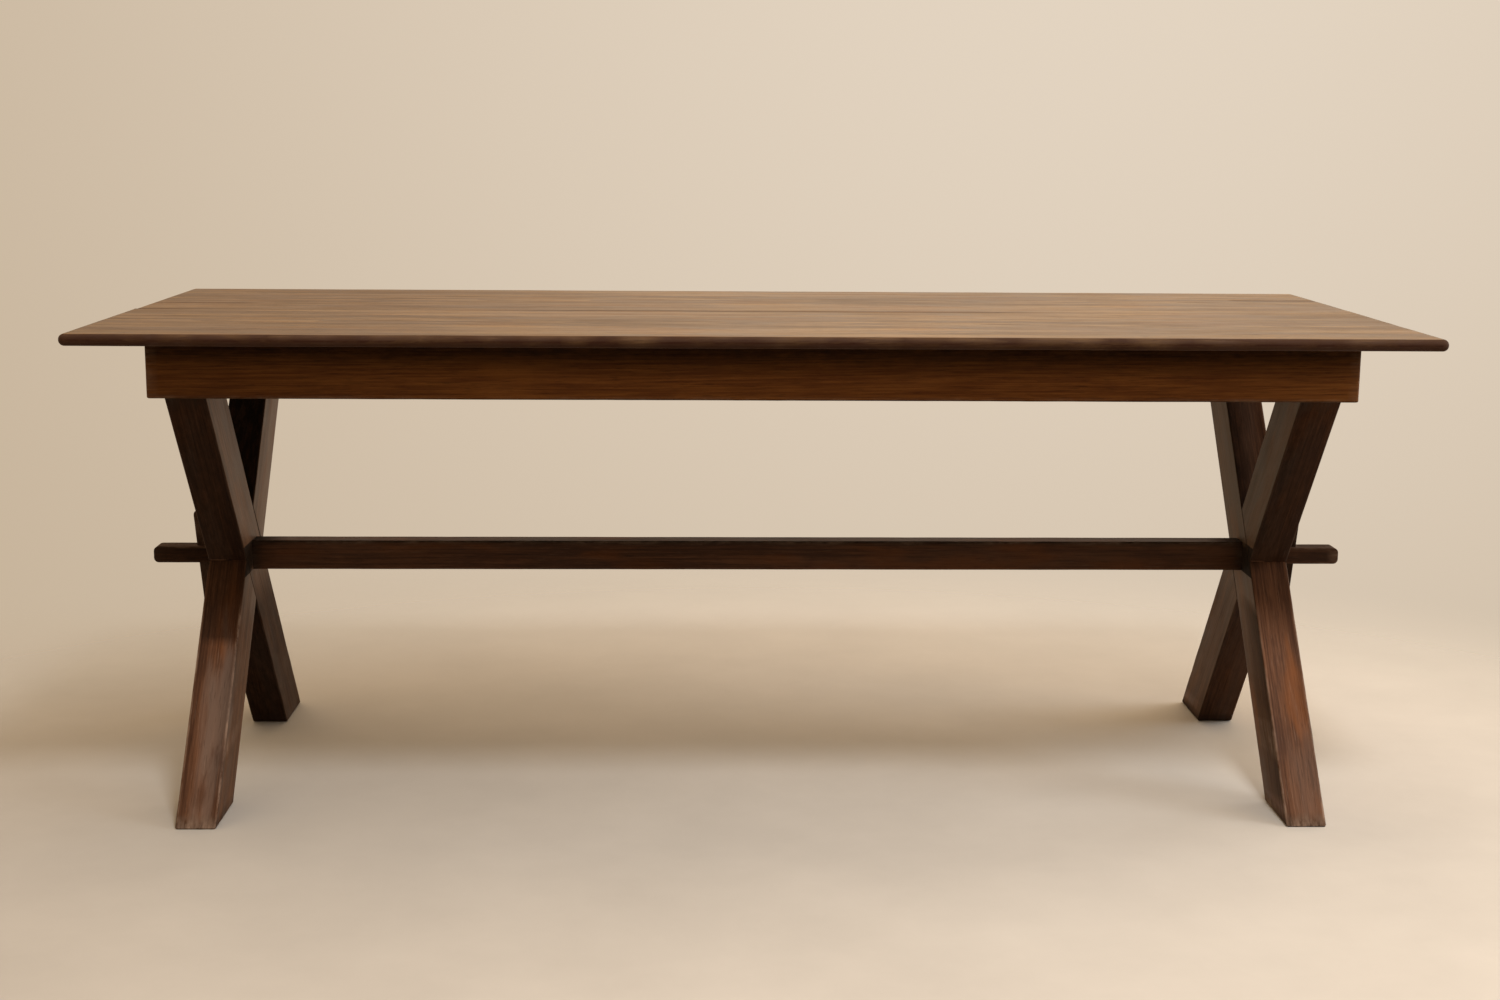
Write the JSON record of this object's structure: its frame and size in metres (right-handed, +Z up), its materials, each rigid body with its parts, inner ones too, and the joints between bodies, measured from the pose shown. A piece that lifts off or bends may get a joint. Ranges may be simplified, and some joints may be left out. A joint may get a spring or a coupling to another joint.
{
  "type": "sawbuck table",
  "caption": "Long dining table on crossed-leg trestles, tied by a stretcher whose through tenons are locked by removable wedges.",
  "frame": {"origin": "on the floor, under the middle of the top", "axes": "+Z up, +X along the table, -Y towards the front"},
  "size_m": [2.01, 0.82, 0.76],
  "materials": {
    "top_timber": "dark walnut stain under satin varnish, with long grain and wear at the edges",
    "apron_timber": "dark reddish walnut stain under satin varnish",
    "leg_timber": "dark walnut stain under satin varnish, worn lighter on the arrises",
    "stretcher_timber": "dark walnut stain under satin varnish",
    "wedge_timber": "dark walnut stain, handled smooth",
    "inner_timber": "thinly stained, planed and left dull under the top",
    "peg_timber": "riven hardwood, dull",
    "screw_steel": "dulled steel"
  },
  "bodies": {
    "table": {"top_board_front": "top_timber", "top_board_rear": "top_timber", "top_spline": "inner_timber", "apron_front": "apron_timber", "apron_rear": "apron_timber", "apron_left": "apron_timber", "apron_right": "apron_timber", "bearer_left": "inner_timber", "bearer_right": "inner_timber", "batten_left": "inner_timber", "batten_middle": "inner_timber", "batten_right": "inner_timber", "left_leg_rear_foot": "leg_timber", "left_leg_front_foot": "leg_timber", "right_leg_front_foot": "leg_timber", "right_leg_rear_foot": "leg_timber", "stretcher": "stretcher_timber", "bearer_pegs": "peg_timber", "top_buttons": "inner_timber", "button_screws": "screw_steel", "batten_screws": "screw_steel", "bearer_screws": "screw_steel"},
    "left_wedge": {"left_wedge": "wedge_timber"},
    "right_wedge": {"right_wedge": "wedge_timber"}
  },
  "joints": [
    {"name": "left_wedge_lift", "type": "slide", "parent": "table", "child": "left_wedge", "axis": [0, 0, 1], "range_m": [0, 0.11]},
    {"name": "right_wedge_lift", "type": "slide", "parent": "table", "child": "right_wedge", "axis": [0, 0, 1], "range_m": [0, 0.11]}
  ]
}
